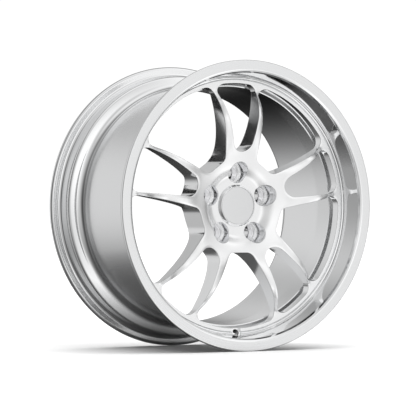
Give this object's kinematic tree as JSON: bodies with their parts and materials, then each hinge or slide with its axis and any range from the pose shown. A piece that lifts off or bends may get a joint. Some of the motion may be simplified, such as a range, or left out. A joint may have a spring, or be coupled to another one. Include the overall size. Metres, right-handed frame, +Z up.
{
  "type": "forged racing wheel",
  "caption": "Forged racing wheel: a dished, paired-spoke centre held between a stepped lip half and a deep barrel half, with steel lug seats and a pull-off centre cap.",
  "frame": {"origin": "on the wheel's axis, half way between the two flange faces; the box's centre", "axes": "+Y along the wheel's axis toward the car (the street face looks toward -Y), +Z up with one lug at the top and the valve hole at the bottom, +X to the right as seen from the street"},
  "size_m": [0.497, 0.262, 0.497],
  "materials": {
    "centre": "fine satin, machined and clear-coated",
    "lip": "mirror-polished dish with a satin machined front face",
    "barrel": "spun and polished",
    "weld": "as welded, fine ripples",
    "lug_seat": "turned and zinc plated",
    "cap_body": "turned with a polished chamfer",
    "cap_plate": "satin silver, blank",
    "spring": "drawn spring wire",
    "o_ring": "matt black rubber"
  },
  "bodies": {
    "wheel": {"forged_centre": "centre", "outer_lip_half": "lip", "inner_barrel_half": "barrel", "rim_seam_weld": "weld", "lug_seat_1": "lug_seat", "lug_seat_2": "lug_seat", "lug_seat_3": "lug_seat", "lug_seat_4": "lug_seat", "lug_seat_5": "lug_seat", "cap_spring_ring": "spring"},
    "cap": {"cap_body": "cap_body", "cap_face_plate": "cap_plate", "cap_o_ring": "o_ring"}
  },
  "joints": [
    {"name": "cap_pull_off", "type": "slide", "parent": "wheel", "child": "cap", "axis": [0, -1, 0], "range_m": [0, 0.03]}
  ]
}
